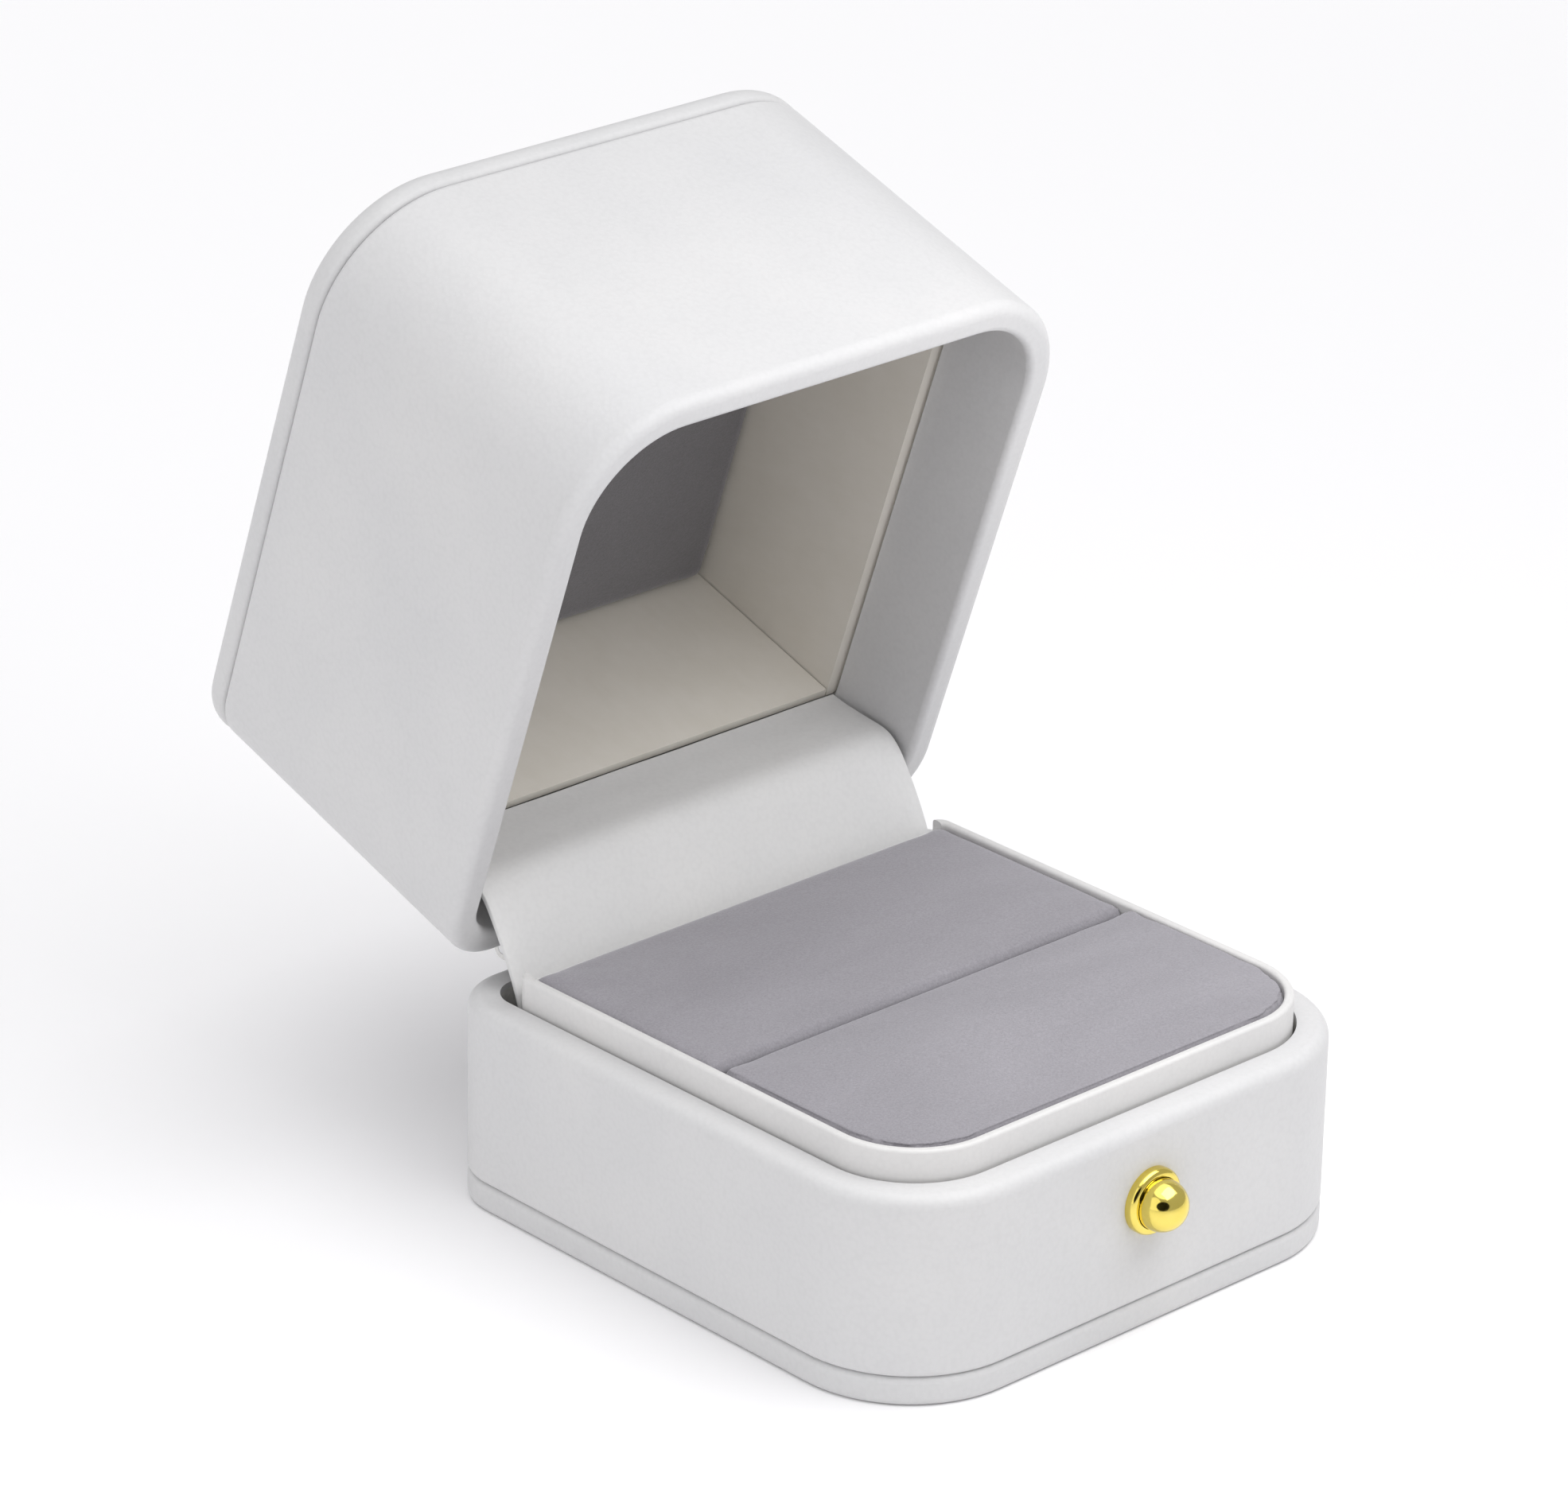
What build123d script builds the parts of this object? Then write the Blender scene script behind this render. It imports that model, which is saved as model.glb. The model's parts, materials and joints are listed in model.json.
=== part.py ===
from build123d import *
import math
import os

os.makedirs("parts", exist_ok=True)

# Clamshell ring box, modelled open as it stands on a table.
# Frame: origin at the centre of the underside, +X to the right seen from
# the front, front face towards -Y, +Z up. Millimetres.

# ---- outer sizes ----
W = 52.8            # width, left to right
D = 54.0            # depth, front to back
RF = 10.7           # plan radius of the two front corners
RB = 5.5            # plan radius of the two back corners
Z_STEP = 17.9       # top of the base's outer rim, on which the lid shuts
Z_MOUTH = 18.0      # lower edge of the shut lid
LID_H = 33.5        # lid height from mouth to top
T_BOT = 2.45        # bottom plate
T_TOP = 2.8         # lid top plate
SKIN = 0.5          # leatherette
WALL = 2.6          # skin, board and skin together
GROOVE = 0.55       # edge radius on each side of the seam grooves
R_RIM = 1.1         # rounding of the base's outer rim
OPEN_DEG = 71.3     # lid angle at its open stop, the stored pose

# ---- collar and pads ----
COL_OUT = 2.9       # inset of the collar's outer face
COL_T = 0.8
Z_COL = 20.5        # collar top
Y_COLB = 21.0       # outer face of the collar's back wall
Z_FLOOR = 3.2
Z_BOARD = 8.2       # top of the card under the pads
Z_PAD = 20.1        # pad tops
Y_SLOT = -1.65      # middle of the ring slot
SLOT = 1.2

# ---- hinge ----
HY, HZ = 27.9, 18.9  # pin axis, along X
R_KN = 0.95
R_PIN = 0.45
R_BORE = 0.50
LEAF_T = 0.5
Z_LEAF_B = HZ - R_KN # underside of the base leaves, tangent to the barrel
Z_CUT_L = 19.8      # lid back wall above them

# ---- stud on the front ----
BZ = 11.2           # stud height above the table
R_FLANGE = 2.8
R_TUBE = 2.5
R_DOME = 2.15
R_CUP = 2.20
R_SHANK = 0.75
R_WASHER = 1.9

# ---- lid lining ----
Z_BAND = 9.6        # depth of the mouth band below the liner step
Z_TPAD = 26.3       # depth of the lid pad's face
LIN_OUT, LIN_IN = 2.15, 3.4
Y_LINB = 21.6       # face of the back liner
ZT = Z_MOUTH + LID_H
Z_SEAM = ZT - T_TOP

AX = Axis((0, HY, HZ), (1, 0, 0))


def plan(inset, y1=None, rb=None):
    """Plan outline: large front corners, small back corners."""
    x = W / 2 - inset
    y0 = -D / 2 + inset
    yb = D / 2 - inset if y1 is None else y1
    rbb = max(RB - inset, 0.4) if rb is None else rb
    s = Pos(0, (y0 + yb) / 2) * Rectangle(2 * x, yb - y0)
    s = fillet(s.vertices().sort_by(Axis.Y)[:2], RF - inset)
    s = fillet(s.vertices().sort_by(Axis.Y)[-2:], rbb)
    return s


def block(inset, z0, z1, y1=None, rb=None):
    return extrude(Pos(0, 0, z0) * plan(inset, y1, rb), z1 - z0)


def box(x0, x1, y0, y1, z0, z1):
    return Pos((x0 + x1) / 2, (y0 + y1) / 2, (z0 + z1) / 2) * Box(
        x1 - x0, y1 - y0, z1 - z0)


def cyl_x(r, x0, x1, y, z):
    return Pos((x0 + x1) / 2, y, z) * Rot(0, 90, 0) * Cylinder(r, x1 - x0)


def cyl_y(r, y0, y1, x, z):
    return Pos(x, (y0 + y1) / 2, z) * Rot(90, 0, 0) * Cylinder(r, y1 - y0)


def at_z(s, z):
    return s.edges().filter_by_position(Axis.Z, z - 0.01, z + 0.01)


def save(shape, name, lid=False):
    if lid:
        shape = shape.rotate(AX, -OPEN_DEG)
    export_step(shape, f"parts/{name}.step")


# ================= base =================
bottom = block(0, 0, T_BOT)
bottom = fillet(at_z(bottom, 0), 0.6)
bottom = fillet(at_z(bottom, T_BOT), GROOVE)
save(bottom, "bottom_plate")

outer = block(0, T_BOT, Z_STEP)
outer = fillet(at_z(outer, Z_STEP), R_RIM)
outer = fillet(at_z(outer, T_BOT), GROOVE)
core = block(SKIN, T_BOT, Z_STEP - SKIN)
core = fillet(at_z(core, Z_STEP - SKIN), R_RIM - SKIN)
cavity = block(WALL, Z_FLOOR, 40)
lug_notch = box(-2.8, 2.8, 23, 26.35, 15.7, 20) + box(
    -2.8, 2.8, 26, 27.5, 17.0, 20)
stud_hole = cyl_y(R_TUBE + 0.01, -28, -25.6, 0, BZ) + cyl_y(
    0.85, -26, -24, 0, BZ) + cyl_y(R_WASHER + 0.1, -25.0, -24, 0, BZ)
rivet_x = (-14, 14)
rv_b = Part() + [cyl_y(0.61, 23, 26.4, x, 11.5) for x in rivet_x]

cover = outer - core - block(WALL, 0, 40) - lug_notch - stud_hole
save(cover, "base_cover")
shell = core - cavity - lug_notch - stud_hole - rv_b
save(shell, "base_shell")

collar = block(COL_OUT, Z_FLOOR, Z_COL, Y_COLB, 1.2) - block(
    COL_OUT + COL_T, Z_FLOOR - 1, Z_COL + 1, Y_COLB - COL_T, 0.6)
collar = fillet(at_z(collar, Z_COL), 0.3)
# the back wall stands lower, under the flap
collar = collar - box(-22.6, 22.6, 19.9, 22, 19.4, 21)
save(collar, "base_collar")

# card riser and platform under the pads
IN = COL_OUT + COL_T
riser = block(IN + 3.0, Z_FLOOR, Z_BOARD - 1.0, 17.0, 2.0) - block(
    IN + 4.0, Z_FLOOR - 1, Z_BOARD, 16.0, 1.0)
save(riser, "pad_riser")
board = block(IN + 0.1, Z_BOARD - 1.0, Z_BOARD, Y_COLB - COL_T - 0.1, 0.6)
save(board, "pad_board")

y_fb = Y_SLOT - SLOT / 2
y_bf = Y_SLOT + SLOT / 2
fp = block(IN + 0.15, Z_BOARD, Z_PAD, y_fb, 0.5)
fp = fillet(at_z(fp, Z_PAD), 0.45)
save(fp, "front_pad")
bx = W / 2 - IN - 0.15
bp = box(-bx, bx, y_bf, Y_COLB - COL_T - 0.15, Z_BOARD, Z_PAD)
bp = fillet(bp.edges().filter_by(Axis.Z).sort_by(Axis.Y)[-2:], 0.6)
bp = fillet(at_z(bp, Z_PAD), 0.45)
save(bp, "back_pad")
save(box(-bx, bx, y_fb + 0.05, y_bf - 0.05, Z_BOARD, Z_BOARD + 0.4), "slot_strip")

# ---- stud: flanged cup, dome on a shank, washer behind the wall ----
yf = -D / 2
bezel = cyl_y(R_FLANGE, yf - 0.9, yf, 0, BZ)
bezel = fillet(bezel.edges().filter_by_position(Axis.Y, yf - 0.91, yf - 0.89), 0.5)
bezel = bezel + cyl_y(R_TUBE, yf, -25.6, 0, BZ)
bezel = bezel - cyl_y(R_CUP, yf - 1, -26.1, 0, BZ)
bezel = bezel - cyl_y(R_SHANK + 0.02, -27, -25, 0, BZ)
save(bezel, "stud_bezel")
dome_y = -28.3
head = cyl_y(R_DOME, dome_y, -26.1, 0, BZ)
head = head + (Pos(0, dome_y, BZ) * Sphere(R_DOME)) - cyl_y(
    R_DOME + 1, -26.1, -20, 0, BZ)
head = head + cyl_y(R_SHANK, -26.2, -24.5, 0, BZ) + cyl_y(1.15, -24.5, -24.38, 0, BZ)
save(head, "stud_dome")
save(cyl_y(R_WASHER, -25.0, -24.5, 0, BZ) - cyl_y(R_SHANK + 0.02, -26, -24, 0, BZ),
     "stud_washer")

# ---- hinge, base side ----
brk = box(-19, 19, 24.4 - LEAF_T, 24.4, 7.5, Z_LEAF_B + LEAF_T)
brk = brk - box(-8.95, 8.95, 23, 25, 16.0, 20)
for a, b in ((-19, -9.0), (9.0, 19)):
    brk = brk + box(a, b, 24.4 - LEAF_T, HY, Z_LEAF_B, Z_LEAF_B + LEAF_T)
    brk = brk + cyl_x(R_KN, a, b, HY, HZ)
brk = brk - cyl_x(R_BORE, -20, 20, HY, HZ)
brk = brk - (Part() + [cyl_y(0.61, 23, 26, x, 11.5) for x in rivet_x])
leaf_rv = (-1.4, 1.4)
brk = brk - (Part() + [cyl_y(0.41, 23, 26, x, 9.2) for x in leaf_rv])
save(brk, "base_hinge_bracket")
save(cyl_x(R_PIN, -19, 19, HY, HZ), "hinge_pin")
save(Part() + [cyl_y(0.6, 23.8, 26.3, x, 11.5) + cyl_y(1.2, 23.4, 23.9, x, 11.5)
               for x in rivet_x], "base_rivets")
# snap leaf: springs against the lug on the lid's middle knuckle
pts = [(23.55, 8.2), (23.9, 8.2), (23.9, 11.0), (23.55, 14.5), (23.62, 16.6),
       (24.40, 17.55), (24.20, 17.80), (23.30, 16.75), (23.22, 14.5), (23.55, 11.0)]
leaf = extrude(Plane.YZ * Polygon(*pts, align=None), 2.3, both=True)
leaf = leaf - (Part() + [cyl_y(0.41, 22, 26, x, 9.2) for x in leaf_rv])
save(leaf, "snap_leaf")
save(Part() + [cyl_y(0.4, 23.4, 24.4, x, 9.2) + cyl_y(0.75, 23.15, 23.55, x, 9.2)
               for x in leaf_rv], "snap_leaf_rivets")

# ================= lid, drawn shut and then turned open =================
lo = block(0, Z_MOUTH, Z_SEAM)
lo = fillet(at_z(lo, Z_MOUTH), 1.0)
lo = fillet(at_z(lo, Z_SEAM), GROOVE)
lc = block(SKIN, Z_MOUTH + SKIN, Z_SEAM)
lc = fillet(at_z(lc, Z_MOUTH + SKIN), 0.5)
hinge_gap_l = box(-19.4, 19.4, 22, 29, 15, Z_CUT_L)
lrx, lrz = (-12, 12), 23.2
rv_l = Part() + [cyl_y(0.61, 23, 26.4, x, lrz) for x in lrx]

lcov = lo - block(WALL, 0, 70) - (lc - block(WALL - SKIN, 0, Z_MOUTH + Z_BAND))
lcov = lcov - block(WALL - SKIN, Z_MOUTH + Z_BAND, 70)
inner_edge = [e for e in at_z(lcov, Z_MOUTH)
              if abs(e.center().X) < W / 2 - 1.7 and abs(e.center().Y) < D / 2 - 1.7]
lcov = fillet(inner_edge, 0.6)
lcov = lcov - hinge_gap_l - rv_l
save(lcov, "lid_cover", True)

lsh = lc - block(WALL - SKIN, 0, Z_SEAM - 1.6)
lsh = lsh - hinge_gap_l - rv_l
save(lsh, "lid_shell", True)

top = block(0, Z_SEAM, ZT)
top = fillet(at_z(top, ZT), 2.0)
top = fillet(at_z(top, Z_SEAM), GROOVE)
save(top, "lid_top_plate", True)

# liner panels above the mouth band
z0, z1 = Z_MOUTH + Z_BAND + 0.4, Z_MOUTH + 28.4
ring = block(LIN_OUT, z0, z1, 22.3, 0.5) - block(LIN_IN, 0, 70, 30.0, 0.5)
yt = -D / 2 + RF
save(ring & box(-30, 30, -30, yt, 0, 70), "lid_liner_front", True)
save(ring & box(10, 30, yt + 0.12, 22.3, 0, 70), "lid_liner_right", True)
save(ring & box(-30, -10, yt + 0.12, 22.3, 0, 70), "lid_liner_left", True)
xi = W / 2 - LIN_IN
save(box(-xi + 0.1, xi - 0.1, Y_LINB, Y_LINB + 0.7, z0, z1), "lid_liner_back", True)
save(box(-xi + 1.7, xi - 1.7, Y_LINB + 0.7, D / 2 - WALL + 0.4, z0 + 0.4, z1),
     "lid_back_board", True)
zpb = Z_SEAM - 1.6
save(block(LIN_IN + 0.1, zpb - 0.8, zpb, Y_LINB - 0.05, 0.5), "lid_pad_board", True)
tp = block(LIN_IN + 0.15, Z_MOUTH + Z_TPAD, zpb - 0.8, Y_LINB - 0.1, 0.5)
tp = fillet(at_z(tp, Z_MOUTH + Z_TPAD), 0.5)
save(tp, "lid_top_pad", True)

# ---- hinge, lid side ----
lb = box(-17, 17, 24.4 - LEAF_T, 24.4, 20.2, 26.6)
lb = lb + box(-8.8, 8.8, 24.4 - LEAF_T, 24.4, Z_CUT_L - LEAF_T, 20.3)
lb = lb + box(-8.8, 8.8, 24.4 - LEAF_T, HY, Z_CUT_L - LEAF_T, Z_CUT_L)
lb = lb + cyl_x(R_KN, -8.8, 8.8, HY, HZ)
lb = lb + Pos(0, HY, HZ) * Rot(-62, 0, 0) * (Pos(0, 0, -1.55) * Box(4.0, 0.9, 3.1))
lb = lb - cyl_x(R_BORE, -20, 20, HY, HZ)
lb = lb - (Part() + [cyl_y(0.61, 23, 26, x, lrz) for x in lrx])
save(lb, "lid_hinge_bracket", True)
save(Part() + [cyl_y(0.6, 23.8, 26.3, x, lrz) + cyl_y(1.2, 23.4, 23.9, x, lrz)
               for x in lrx], "lid_rivets", True)

# ---- flap: one leatherette sheet over the hinge, drawn as it hangs open ----
FLAP_W = 45.0
FLAP_T = 0.5


def lid_pt(y, z):
    """A point of the shut lid's section, turned to the open pose."""
    t = math.radians(OPEN_DEG)
    a, b = y - HY, z - HZ
    return (HY + math.cos(t) * a + math.sin(t) * b,
            HZ - math.sin(t) * a + math.cos(t) * b)


route = [lid_pt(22.05, Z_MOUTH + 9.55), lid_pt(21.9, Z_MOUTH + 8.0),
         lid_pt(21.3, Z_MOUTH + 5.0), lid_pt(20.3, Z_MOUTH + 1.6),
         (22.3, 18.6), (21.6, 16.2), (21.45, 12.6)]
up, dn = [], []
for i, p in enumerate(route):
    a = route[max(i - 1, 0)]
    b = route[min(i + 1, len(route) - 1)]
    dx, dy = b[0] - a[0], b[1] - a[1]
    n = math.hypot(dx, dy)
    nx, ny = -dy / n, dx / n
    up.append((p[0] + nx * FLAP_T / 2, p[1] + ny * FLAP_T / 2))
    dn.append((p[0] - nx * FLAP_T / 2, p[1] - ny * FLAP_T / 2))
flap = extrude(Plane.YZ * Polygon(*(up + dn[::-1]), align=None), FLAP_W / 2, both=True)
save(flap, "hinge_flap")
print("flap length", round(sum(math.dist(route[i], route[i + 1])
                               for i in range(len(route) - 1)), 2))
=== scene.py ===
import json
import math

import bmesh
import bpy
import numpy as np
from mathutils import Matrix, Vector, noise


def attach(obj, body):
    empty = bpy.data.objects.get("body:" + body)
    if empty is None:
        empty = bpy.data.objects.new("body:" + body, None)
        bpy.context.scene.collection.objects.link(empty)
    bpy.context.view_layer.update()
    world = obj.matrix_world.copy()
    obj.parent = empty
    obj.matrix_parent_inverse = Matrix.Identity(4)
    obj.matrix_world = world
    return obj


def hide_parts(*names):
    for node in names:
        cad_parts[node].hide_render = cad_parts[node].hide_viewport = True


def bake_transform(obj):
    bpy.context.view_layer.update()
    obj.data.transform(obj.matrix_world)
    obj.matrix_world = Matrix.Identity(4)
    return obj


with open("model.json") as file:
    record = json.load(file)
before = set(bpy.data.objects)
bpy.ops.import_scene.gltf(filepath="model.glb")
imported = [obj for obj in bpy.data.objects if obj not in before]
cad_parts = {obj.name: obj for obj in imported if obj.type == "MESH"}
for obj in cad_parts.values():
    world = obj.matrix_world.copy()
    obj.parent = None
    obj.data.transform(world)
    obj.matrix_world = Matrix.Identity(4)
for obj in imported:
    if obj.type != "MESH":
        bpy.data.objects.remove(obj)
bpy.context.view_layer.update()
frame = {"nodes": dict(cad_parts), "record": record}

NODES = frame["nodes"]
scene = bpy.context.scene
MM = 0.001

# ---- sizes shared with the CAD, in millimetres ----
W, D = 52.8, 54.0
RF = 10.7
HY, HZ = 27.9, 18.9
OPEN = math.radians(71.3)
Z_PAD = 20.1
Z_MOUTH = 18.0
AXLE = Vector((0, HY, HZ)) * MM
# shut lid frame to the open pose
LID_TURN = (Matrix.Translation(AXLE) @ Matrix.Rotation(-OPEN, 4, "X")
            @ Matrix.Translation(-AXLE))


def lid_pt(y, z):
    p = LID_TURN @ (Vector((0, y, z)) * MM)
    return p.y / MM, p.z / MM


# ================= camera =================
cam_data = bpy.data.cameras.new("view_camera")
cam = bpy.data.objects.new("view_camera", cam_data)
scene.collection.objects.link(cam)
right = Vector((0.7323619, -0.6806955, 0.0173096))
up = Vector((0.2619913, 0.3051590, 0.9155537))
look = Vector((0.6284955, 0.6659817, -0.4018231))
rot = Matrix((right, up, -look)).transposed().to_4x4()
cam.matrix_world = Matrix.Translation((-0.350663, -0.356240, 0.259691)) @ rot
cam_data.sensor_fit = "HORIZONTAL"
cam_data.sensor_width = 36.0
cam_data.lens = 8741.06 * 36.0 / 1971.0
cam_data.clip_start = 0.01
cam_data.clip_end = 50.0
scene.camera = cam
scene.view_settings.view_transform = "Standard"
scene.view_settings.look = "None"


# ================= materials =================
class Mat:
    """A small helper round one material's node tree."""

    def __init__(self, name, rough=0.5, metal=0.0, spec=0.5, coat=0.0,
                 coat_rough=0.3, sheen=0.0, sheen_rough=0.5):
        self.m = bpy.data.materials.new(name)
        self.m.use_nodes = True
        self.nt = self.m.node_tree
        self.b = self.nt.nodes["Principled BSDF"]
        self.b.inputs["Roughness"].default_value = rough
        self.b.inputs["Metallic"].default_value = metal
        self.b.inputs["Specular IOR Level"].default_value = spec
        self.b.inputs["Coat Weight"].default_value = coat
        self.b.inputs["Coat Roughness"].default_value = coat_rough
        self.b.inputs["Sheen Weight"].default_value = sheen
        self.b.inputs["Sheen Roughness"].default_value = sheen_rough
        self.tc = self.nt.nodes.new("ShaderNodeTexCoord")
        self.height = None

    def link(self, a, b):
        self.nt.links.new(a, b)

    def coord(self, scale=(1, 1, 1), turn=(0, 0, 0)):
        mp = self.nt.nodes.new("ShaderNodeMapping")
        mp.inputs["Scale"].default_value = scale
        mp.inputs["Rotation"].default_value = turn
        self.link(self.tc.outputs["Object"], mp.inputs["Vector"])
        return mp.outputs["Vector"]

    def noise(self, scale, detail=3.0, rough=0.5, vec=None, distort=0.0):
        n = self.nt.nodes.new("ShaderNodeTexNoise")
        n.inputs["Scale"].default_value = scale
        n.inputs["Detail"].default_value = detail
        n.inputs["Roughness"].default_value = rough
        n.inputs["Distortion"].default_value = distort
        self.link(vec if vec is not None else self.tc.outputs["Object"], n.inputs["Vector"])
        return n.outputs["Fac"]

    def voronoi(self, scale, feature="SMOOTH_F1", smooth=0.6, vec=None):
        n = self.nt.nodes.new("ShaderNodeTexVoronoi")
        n.feature = feature
        n.inputs["Scale"].default_value = scale
        if feature == "SMOOTH_F1":
            n.inputs["Smoothness"].default_value = smooth
        self.link(vec if vec is not None else self.tc.outputs["Object"], n.inputs["Vector"])
        return n.outputs["Distance"]

    def ramp(self, fac, stops):
        r = self.nt.nodes.new("ShaderNodeValToRGB")
        el = r.color_ramp.elements
        while len(el) < len(stops):
            el.new(0.5)
        for e, (p, c) in zip(el, stops):
            e.position = p
            e.color = (*c, 1.0)
        self.link(fac, r.inputs["Fac"])
        return r.outputs["Color"]

    def span(self, fac, lo, hi, src=(0.25, 0.75)):
        r = self.nt.nodes.new("ShaderNodeMapRange")
        r.inputs["From Min"].default_value = src[0]
        r.inputs["From Max"].default_value = src[1]
        r.inputs["To Min"].default_value = lo
        r.inputs["To Max"].default_value = hi
        self.link(fac, r.inputs["Value"])
        return r.outputs["Result"]

    def math(self, op, a, b):
        n = self.nt.nodes.new("ShaderNodeMath")
        n.operation = op
        for i, v in enumerate((a, b)):
            if isinstance(v, (int, float)):
                n.inputs[i].default_value = v
            else:
                self.link(v, n.inputs[i])
        return n.outputs["Value"]

    def mix(self, fac, a, b, kind="MIX"):
        n = self.nt.nodes.new("ShaderNodeMix")
        n.data_type = "RGBA"
        n.blend_type = kind
        if isinstance(fac, (int, float)):
            n.inputs[0].default_value = fac
        else:
            self.link(fac, n.inputs[0])
        for i, v in ((6, a), (7, b)):
            if isinstance(v, tuple):
                n.inputs[i].default_value = (*v, 1.0)
            else:
                self.link(v, n.inputs[i])
        return n.outputs[2]

    def color(self, out):
        self.link(out, self.b.inputs["Base Color"])

    def rough(self, out):
        self.link(out, self.b.inputs["Roughness"])

    def bump(self, fac, dist, strength=1.0):
        n = self.nt.nodes.new("ShaderNodeBump")
        n.inputs["Strength"].default_value = strength
        n.inputs["Distance"].default_value = dist
        self.link(fac, n.inputs["Height"])
        if self.height is not None:
            self.link(self.height, n.inputs["Normal"])
        self.height = n.outputs["Normal"]
        self.link(self.height, self.b.inputs["Normal"])


def leatherette(name, col, rough=0.46, grain=1.0, warm=0.0):
    """Smooth pressed leatherette: faint pebble, faint cloudiness, soft satin."""
    m = Mat(name, rough=rough, spec=0.42, sheen=0.06, sheen_rough=0.4)
    lo = tuple(c * k for c, k in zip(col, (0.965, 0.967, 0.970)))
    hi = tuple(min(1.0, c * k) for c, k in zip(col, (1.018, 1.016, 1.012 - warm)))
    cloud = m.noise(70, 3.0, 0.55)
    base = m.ramp(cloud, [(0.30, lo), (0.70, hi)])
    pebble = m.voronoi(2600, smooth=0.8)
    fine = m.noise(8200, 2.0, 0.6)
    pores = m.span(pebble, 1.0, 0.972, (0.35, 0.75))
    dark = m.mix(1.0, base, m.ramp(pores, [(0.0, (0.0, 0.0, 0.0)), (1.0, (1.0, 1.0, 1.0))]),
                 "MULTIPLY")
    m.color(dark)
    m.rough(m.span(m.noise(240, 3.0), rough - 0.05, rough + 0.06))
    m.bump(pebble, 0.000030 * grain, 0.55)
    m.bump(fine, 0.000012 * grain, 0.5)
    return m.m


def velvet(name, col, pile=1.0):
    """Short-pile velvet: sheen, pile noise and broad brushed patches."""
    m = Mat(name, rough=0.95, spec=0.08, sheen=0.55, sheen_rough=0.42)
    m.b.inputs["Sheen Tint"].default_value = (0.93, 0.92, 0.97, 1.0)
    brushed = m.noise(42, 2.5, 0.5, m.coord((1.0, 2.2, 1.0), (0, 0, 0.35)), 0.6)
    lo = tuple(c * 0.925 for c in col)
    hi = tuple(c * 1.065 for c in col)
    base = m.ramp(brushed, [(0.28, lo), (0.72, hi)])
    fibre = m.noise(5200, 3.0, 0.7)
    fleck = m.ramp(fibre, [(0.30, (0.86, 0.86, 0.86)), (0.72, (1.10, 1.10, 1.11))])
    m.color(m.mix(1.0, base, fleck, "MULTIPLY"))
    m.bump(fibre, 0.000055 * pile, 0.7)
    m.bump(m.noise(900, 2.0, 0.5), 0.000060 * pile, 0.35)
    return m.m


def paper(name, col):
    """Satin liner card: long faint fibres and a little mottling."""
    m = Mat(name, rough=0.52, spec=0.35)
    lo = tuple(c * k for c, k in zip(col, (0.955, 0.95, 0.935)))
    hi = tuple(min(1.0, c * k) for c, k in zip(col, (1.015, 1.015, 1.02)))
    mott = m.noise(190, 4.0, 0.6)
    fib = m.noise(900, 3.0, 0.65, m.coord((1.0, 0.25, 1.0), (0.4, 0.2, 0.1)))
    m.color(m.mix(0.35, m.ramp(mott, [(0.3, lo), (0.7, hi)]),
                  m.ramp(fib, [(0.3, lo), (0.7, hi)])))
    m.rough(m.span(mott, 0.44, 0.60))
    m.bump(fib, 0.000020, 0.5)
    return m.m


def gold(name):
    """Polished plating with faint haze and hairlines."""
    m = Mat(name, rough=0.10, metal=1.0)
    haze = m.noise(420, 3.0, 0.6)
    m.color(m.ramp(haze, [(0.25, (0.78, 0.62, 0.12)), (0.75, (0.86, 0.71, 0.18))]))
    m.rough(m.span(haze, 0.07, 0.14))
    hair = m.noise(2600, 2.0, 0.5, m.coord((1.0, 1.0, 0.08)))
    m.bump(hair, 0.000004, 0.25)
    return m.m


def metal(name, col, rough=0.32, stretch=(1, 12, 12)):
    m = Mat(name, rough=rough, metal=1.0)
    brushed = m.noise(900, 4.0, 0.6, m.coord(stretch))
    m.color(m.ramp(brushed, [(0.3, tuple(c * 0.90 for c in col)), (0.7, col)]))
    m.rough(m.span(brushed, rough - 0.07, rough + 0.10))
    m.bump(brushed, 0.000008, 0.5)
    return m.m


def enamel(name, col):
    m = Mat(name, rough=0.30, spec=0.5, coat=0.3, coat_rough=0.2)
    peel = m.noise(1500, 2.0, 0.5)
    m.color(m.ramp(m.noise(120, 3.0), [(0.3, tuple(c * 0.965 for c in col)), (0.7, col)]))
    m.rough(m.span(peel, 0.25, 0.37))
    m.bump(peel, 0.000010, 0.4)
    return m.m


def board(name, col):
    m = Mat(name, rough=0.85, spec=0.2)
    fib = m.noise(1500, 5.0, 0.7, m.coord((1.0, 0.3, 1.0)))
    m.color(m.ramp(fib, [(0.3, tuple(c * 0.80 for c in col)), (0.75, tuple(min(1, c * 1.1) for c in col))]))
    m.bump(fib, 0.000050, 0.7)
    return m.m


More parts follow.
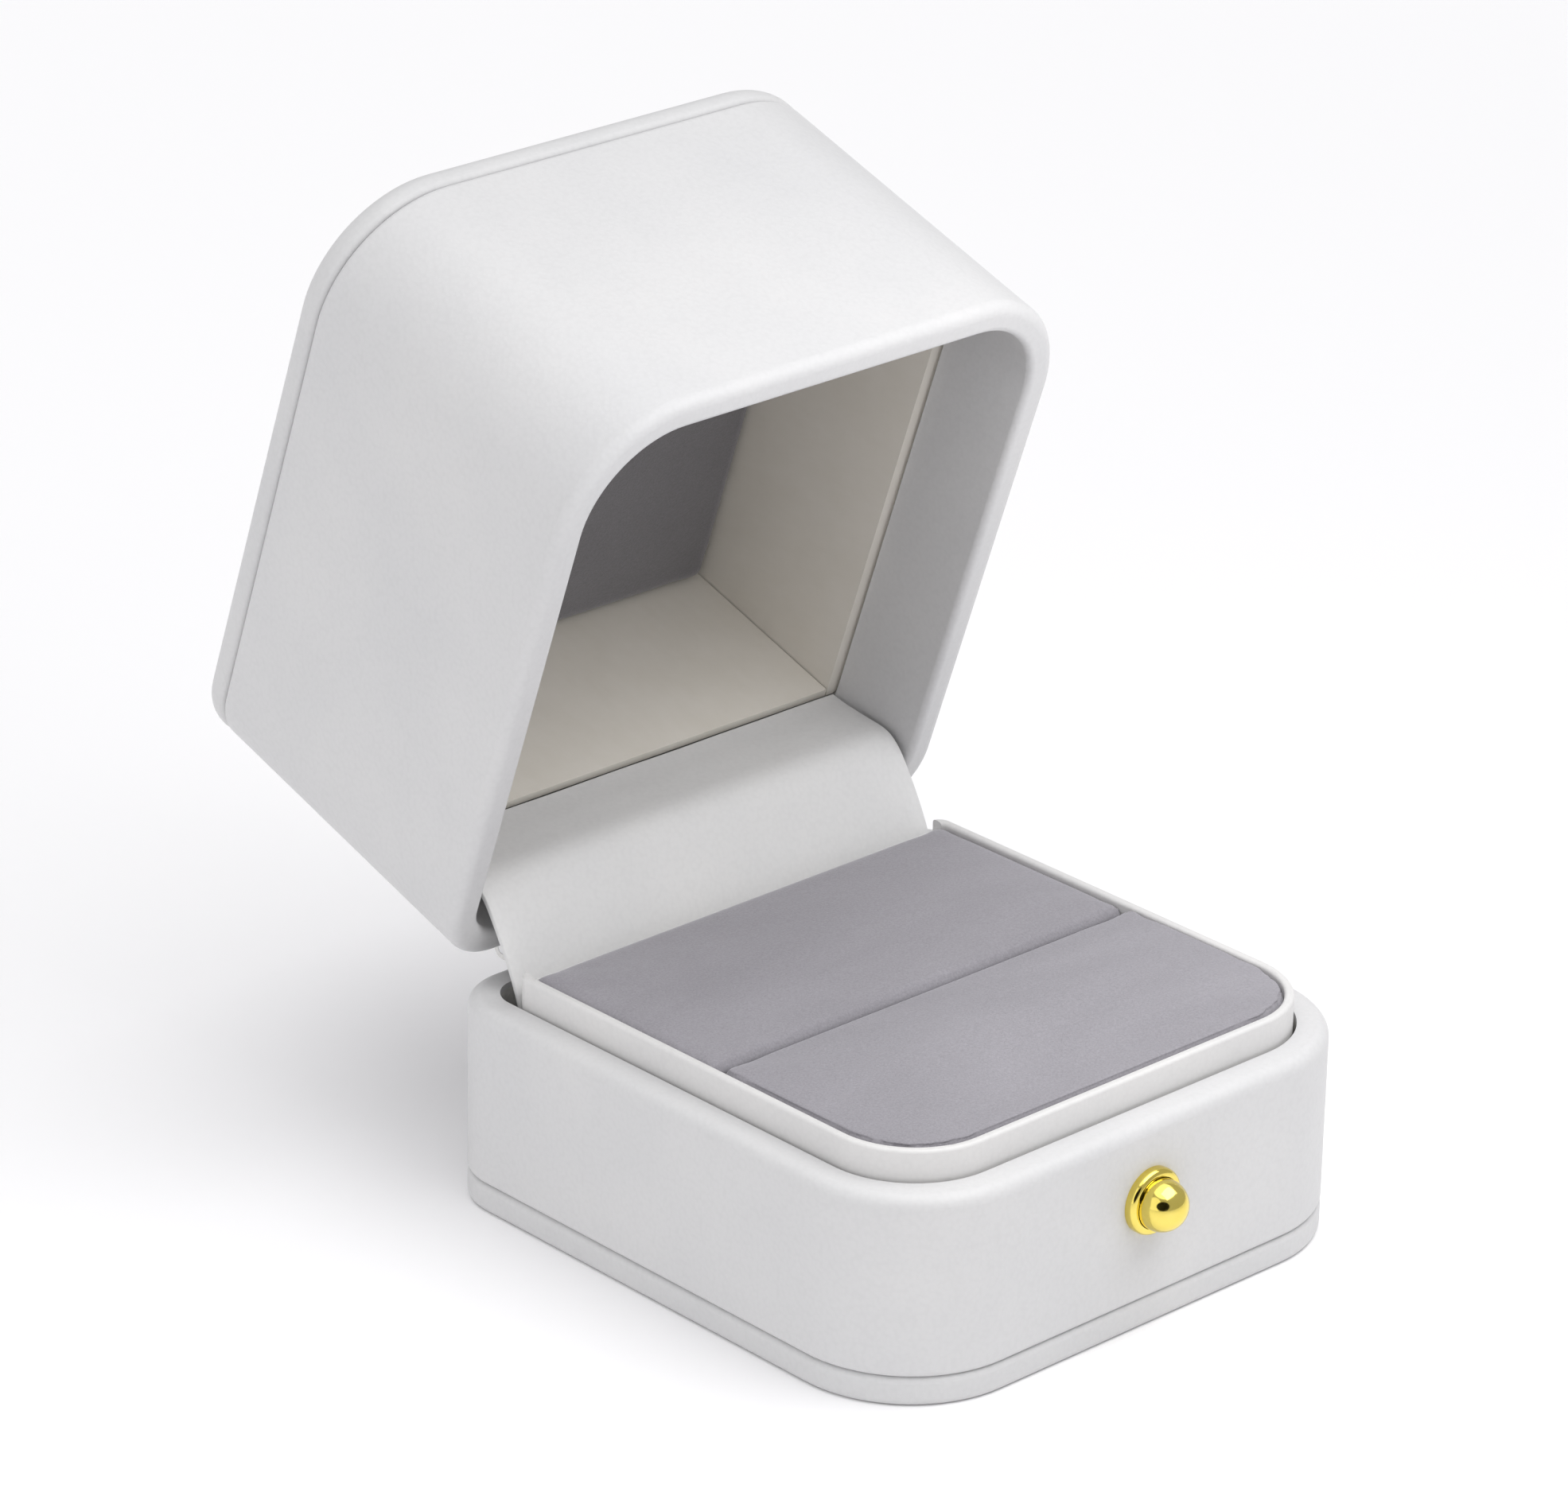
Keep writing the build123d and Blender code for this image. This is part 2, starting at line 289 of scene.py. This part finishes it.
MATS = {
    "leatherette_outer": leatherette("leatherette_outer", (0.646, 0.643, 0.648)),
    "leatherette_plate": leatherette("leatherette_plate", (0.640, 0.638, 0.642)),
    "leatherette_collar": leatherette("leatherette_collar", (0.705, 0.697, 0.692), 0.42, 0.7),
    "leatherette_flap": leatherette("leatherette_flap", (0.720, 0.716, 0.714), 0.50, 1.0),
    "greyboard": board("greyboard", (0.42, 0.41, 0.38)),
    "shell_board": board("shell_board", (0.74, 0.73, 0.70)),
    "velvet_pad": velvet("velvet_pad", (0.316, 0.304, 0.328)),
    # velvet_lid is the same velvet as the base pads; its darker colour is painted shade for the inside of
    # the lid
    "velvet_lid": velvet("velvet_lid", (0.192, 0.186, 0.192)),
    "liner_paper": paper("liner_paper", (0.80, 0.765, 0.70)),
    "gold": gold("gold"),
    "hinge_enamel": enamel("hinge_enamel", (0.80, 0.79, 0.77)),
    "steel": metal("steel", (0.70, 0.70, 0.71), 0.24),
    "spring_steel": metal("spring_steel", (0.50, 0.50, 0.52), 0.30),
}
SLOT_OF = {s["node"]: s["material_slot"] for s in frame["record"]["subparts"]}
for name, ob in NODES.items():
    mat = MATS[SLOT_OF[name]]
    ob.data.materials.clear()
    ob.data.materials.append(mat)


# ================= pads =================
def outline(x, y0, y1, rf, rb, n=14):
    """Plan outline in mm, counter-clockwise."""
    pts = []
    for cx, cy, r, a0 in ((-x + rf, y0 + rf, rf, 180), (x - rf, y0 + rf, rf, 270),
                          (x - rb, y1 - rb, rb, 0), (-x + rb, y1 - rb, rb, 90)):
        for k in range(n + 1):
            a = math.radians(a0 + 90.0 * k / n)
            pts.append((cx + r * math.cos(a), cy + r * math.sin(a)))
    return pts


def slab(name, ring, z0, z1, roll):
    """Closed block with a rolled top edge: ring(inset) gives the outline."""
    bm = bmesh.new()
    levels = [(0.0, z0)]
    for k in range(7):
        a = math.radians(15 * k)
        levels.append((roll * (1 - math.cos(a)), z1 - roll + roll * math.sin(a)))
    loops = [[bm.verts.new((x * MM, y * MM, z * MM)) for x, y in ring(i)] for i, z in levels]
    n = len(loops[0])
    for a, b in zip(loops, loops[1:]):
        for i in range(n):
            bm.faces.new((a[i], a[(i + 1) % n], b[(i + 1) % n], b[i]))
    bm.faces.new(list(reversed(loops[0])))
    bm.faces.new(loops[-1])
    me = bpy.data.meshes.new(name)
    bm.to_mesh(me)
    bm.free()
    ob = bpy.data.objects.new(name, me)
    scene.collection.objects.link(ob)
    return ob


def baked(ob):
    """Replaces the object's mesh with its evaluated one and drops modifiers."""
    dg = bpy.context.evaluated_depsgraph_get()
    me = bpy.data.meshes.new_from_object(ob.evaluated_get(dg))
    old = ob.data
    ob.modifiers.clear()
    ob.data = me
    bpy.data.meshes.remove(old)


def coords(ob):
    co = np.empty(len(ob.data.vertices) * 3)
    ob.data.vertices.foreach_get("co", co)
    return co.reshape(-1, 3)


def put(ob, co):
    ob.data.vertices.foreach_set("co", np.asarray(co, np.float32).ravel())
    ob.data.update()


def puff(ob, z1, crown, voxel=0.5, pin=1.6, pressure=4.0):
    """Swells the top of a block like foam under stretched cloth, by at most crown mm.
    The cloth is solved at 20 times the size, where its settings behave."""
    K = 20.0
    ob.data.transform(Matrix.Scale(K, 4))
    r = ob.modifiers.new("remesh", "REMESH")
    r.mode = "VOXEL"
    r.voxel_size = voxel * MM * K
    s = ob.modifiers.new("smooth", "SMOOTH")
    s.factor = 0.5
    s.iterations = 3
    baked(ob)
    rest = coords(ob)
    vg = ob.vertex_groups.new(name="pin")
    low = [i for i, p in enumerate(rest) if p[2] < (z1 - pin) * MM * K]
    vg.add(low, 1.0, "REPLACE")
    c = ob.modifiers.new("Cloth", "CLOTH")
    c.settings.quality = 6
    c.settings.mass = 0.3
    c.settings.tension_stiffness = 12
    c.settings.compression_stiffness = 12
    c.settings.shear_stiffness = 5
    c.settings.bending_stiffness = 1.2
    c.settings.use_pressure = True
    c.settings.uniform_pressure_force = pressure
    c.settings.vertex_group_mass = "pin"
    c.settings.effector_weights.gravity = 0
    c.collision_settings.use_collision = False
    c.point_cache.frame_start = 1
    c.point_cache.frame_end = 20
    for f in range(1, 21):
        scene.frame_set(f)
    baked(ob)
    ob.vertex_groups.clear()
    scene.frame_set(1)
    now = coords(ob)
    move = now - rest
    most = max(float(np.abs(move[:, 2]).max()), 1e-9)
    move *= crown * MM * K / most
    side = 0.22 * MM * K
    move[:, :2] = np.clip(move[:, :2], -side, side)
    put(ob, rest + move)
    ob.data.transform(Matrix.Scale(1 / K, 4))
    d = ob.modifiers.new("sub", "SUBSURF")
    d.levels = d.render_levels = 1
    baked(ob)
    for p in ob.data.polygons:
        p.use_smooth = True
    return ob


def finish_pad(ob, slot, body, node):
    ob.data.materials.clear()
    ob.data.materials.append(MATS[slot])
    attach(ob, body)
    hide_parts(node)


xin = W / 2 - 3.74


def true_wall(ob, x, y0, y1, rf, rb):
    """Lays the cloth at the sides exactly on the rounded outline it is stretched round."""
    co = coords(ob) / MM
    cy, hy = (y0 + y1) / 2, (y1 - y0) / 2
    px, py = co[:, 0], co[:, 1] - cy
    r = np.where(py < 0, rf, rb)
    qx, qy = np.abs(px) - x + r, np.abs(py) - hy + r
    corner = (qx > 0) & (qy > 0)
    away = np.hypot(np.maximum(qx, 0), np.maximum(qy, 0))
    d = away + np.minimum(np.maximum(qx, qy), 0) - r
    nx = np.where(corner, qx / np.maximum(away, 1e-6), (qx >= qy) * 1.0) * np.sign(px)
    ny = np.where(corner, qy / np.maximum(away, 1e-6), (qx < qy) * 1.0) * np.sign(py)
    near = d > -0.16
    co[near, 0] -= (d * nx)[near]
    co[near, 1] -= (d * ny)[near]
    put(ob, co * MM)


def spread(ob, y0, y1):
    """Lets the cloth at the pad's top edge lie on the collar's rim, by up to 0.3 mm,
    at the sides and at the front, and keeps the slot's sides straight."""
    co = coords(ob) / MM
    k = np.clip((co[:, 2] - 20.38) / 0.12, 0, 1)
    co[:, 0] *= 1 + k * 0.30 / xin
    if y0 < -20:
        front = np.clip((-10.0 - co[:, 1]) / 12.0, 0, 1)
        co[:, 1] -= 0.30 * k * front
    put(ob, co * MM)



def front_ring(i):
    return outline(xin - i, -23.24 + i, -2.0 - i, 6.95 - i, max(0.7 - i, 0.05))


fp = slab("front_pad_velvet", front_ring, 8.25, Z_PAD + 0.45, 0.40)
puff(fp, Z_PAD + 0.45, 0.55)
true_wall(fp, xin, -23.24, -2.0, 6.95, 0.7)
spread(fp, -23.24, -2.0)
finish_pad(fp, "velvet_pad", "base", "front_pad")


def back_ring(i):
    return outline(xin - i, -1.35 + i, 20.12 - i, max(0.7 - i, 0.05), max(0.7 - i, 0.05))


bp = slab("back_pad_velvet", back_ring, 8.25, Z_PAD + 0.30, 0.40)
puff(bp, Z_PAD + 0.30, 0.45)
true_wall(bp, xin, -1.35, 20.12, 0.7, 0.7)
spread(bp, -1.35, 20.12)
finish_pad(bp, "velvet_pad", "base", "back_pad")


def lid_ring(i):
    return outline(W / 2 - 3.55 - i, -23.4 + i, 21.45 - i, 7.1 - i, max(0.9 - i, 0.05))


lp = slab("lid_pad_velvet", lid_ring, 0.05, 2.1, 0.7)
puff(lp, 2.1, 0.55, voxel=0.6, pin=1.2)
# face down in the shut lid, then turned open
flip = Matrix.Translation((0, 0, (Z_MOUTH + 26.3 + 2.1) * MM)) @ Matrix.Diagonal((1, 1, -1, 1))
lp.data.transform(LID_TURN @ flip)
lp.data.flip_normals()
# the lid pad's darker velvet colour is painted shade from inside the lid, not a different cloth
finish_pad(lp, "velvet_lid", "lid", "lid_top_pad")


# ================= flap over the hinge =================
def spline(points, n):
    """Catmull-Rom through the points."""
    p = [points[0]] + list(points) + [points[-1]]
    out = []
    for i in range(1, len(p) - 2):
        for k in range(n):
            t = k / n
            out.append(tuple(
                0.5 * (2 * p[i][j] + (p[i + 1][j] - p[i - 1][j]) * t
                       + (2 * p[i - 1][j] - 5 * p[i][j] + 4 * p[i + 1][j] - p[i + 2][j]) * t * t
                       + (3 * p[i][j] - p[i - 1][j] - 3 * p[i + 1][j] + p[i + 2][j]) * t ** 3)
                for j in range(2)))
    out.append(tuple(points[-1]))
    return out


route = [lid_pt(22.05, Z_MOUTH + 9.5), lid_pt(21.9, Z_MOUTH + 8.0), lid_pt(21.45, Z_MOUTH + 5.5),
         (27.65, 26.10), (26.25, 25.20), (25.10, 23.70), (23.60, 21.20), (22.35, 18.6),
         (21.6, 16.2), (21.45, 12.6)]
line = spline(route, 10)
bm = bmesh.new()
cols = 46
grid = []
for y, z in line:
    row = []
    for k in range(cols):
        x = -22.5 + 45.8 * k / (cols - 1)
        wv = 0.10 * noise.noise(Vector((x * 0.12, y * 0.2, z * 0.2)))
        row.append(bm.verts.new((x * MM, (y + wv) * MM, z * MM)))
    grid.append(row)
for a, b in zip(grid, grid[1:]):
    for k in range(cols - 1):
        bm.faces.new((a[k], a[k + 1], b[k + 1], b[k]))
bmesh.ops.recalc_face_normals(bm, faces=bm.faces)
me = bpy.data.meshes.new("hinge_flap_sheet")
bm.to_mesh(me)
bm.free()
flap = bpy.data.objects.new("hinge_flap_sheet", me)
scene.collection.objects.link(flap)
so = flap.modifiers.new("thick", "SOLIDIFY")
so.thickness = 0.45 * MM
so.offset = 0.0
bv = flap.modifiers.new("edge", "BEVEL")
bv.width = 0.12 * MM
bv.segments = 2
bv.limit_method = "ANGLE"
baked(flap)
for p in flap.data.polygons:
    p.use_smooth = True
flap.data.materials.append(MATS["leatherette_flap"])
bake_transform(flap)
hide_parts("hinge_flap")

# ================= stage and light =================
bpy.ops.mesh.primitive_plane_add(size=8.0, location=(0, 0, 0))
floor = bpy.context.object
floor.name = "floor"
fm = Mat("floor_paper", rough=0.75, spec=0.2)
fm.color(fm.ramp(fm.noise(3.0, 2.0), [(0.3, (0.950, 0.944, 0.952)), (0.7, (0.960, 0.955, 0.962))]))
floor.data.materials.append(fm.m)

world = bpy.data.worlds.new("studio")
scene.world = world
world.use_nodes = True
bg = world.node_tree.nodes["Background"]
bg.inputs["Color"].default_value = (0.985, 0.985, 1.0, 1.0)
bg.inputs["Strength"].default_value = 0.52


def sun(name, toward, strength, angle, color=(1, 1, 1)):
    d = bpy.data.lights.new(name, "SUN")
    d.energy = strength
    d.angle = math.radians(angle)
    d.color = color
    o = bpy.data.objects.new(name, d)
    o.rotation_euler = Vector(toward).to_track_quat("-Z", "Y").to_euler()
    scene.collection.objects.link(o)
    return o


sun("key_top", (-0.06, 0.10, -1.0), 1.40, 75)
sun("fill_left", (0.90, 0.10, -0.35), 0.55, 60)
box_data = bpy.data.lights.new("softbox_front", "AREA")
box_data.shape = "RECTANGLE"
box_data.size = 0.11
box_data.size_y = 0.08
box_data.energy = 0.053
softbox = bpy.data.objects.new("softbox_front", box_data)
softbox.location = (0.022, -0.060, 0.112)
softbox.rotation_euler = (Vector((0, 0.028, 0.025)) - softbox.location).to_track_quat("-Z", "Y").to_euler()
softbox.visible_camera = False
scene.collection.objects.link(softbox)

# a dark card in the room, seen only in the gold
bpy.ops.mesh.primitive_circle_add(radius=0.5, vertices=48, fill_type="NGON")
card = bpy.context.object
card.name = "dark_card"
card.scale = (1.20, 0.86, 1.0)
away = Vector((-0.63, -0.70, 0.10)).normalized()
card.location = away * 1.1 + Vector((0, -0.027, 0.330))
card.rotation_euler = away.to_track_quat("Z", "Y").to_euler()
cm = Mat("card_black", rough=0.9, spec=0.1)
cm.color(cm.ramp(cm.noise(2.0), [(0.0, (0.010, 0.010, 0.010)), (1.0, (0.020, 0.020, 0.020))]))
card.data.materials.append(cm.m)
card.visible_camera = False
card.visible_diffuse = False
card.visible_shadow = False
card.visible_transmission = False
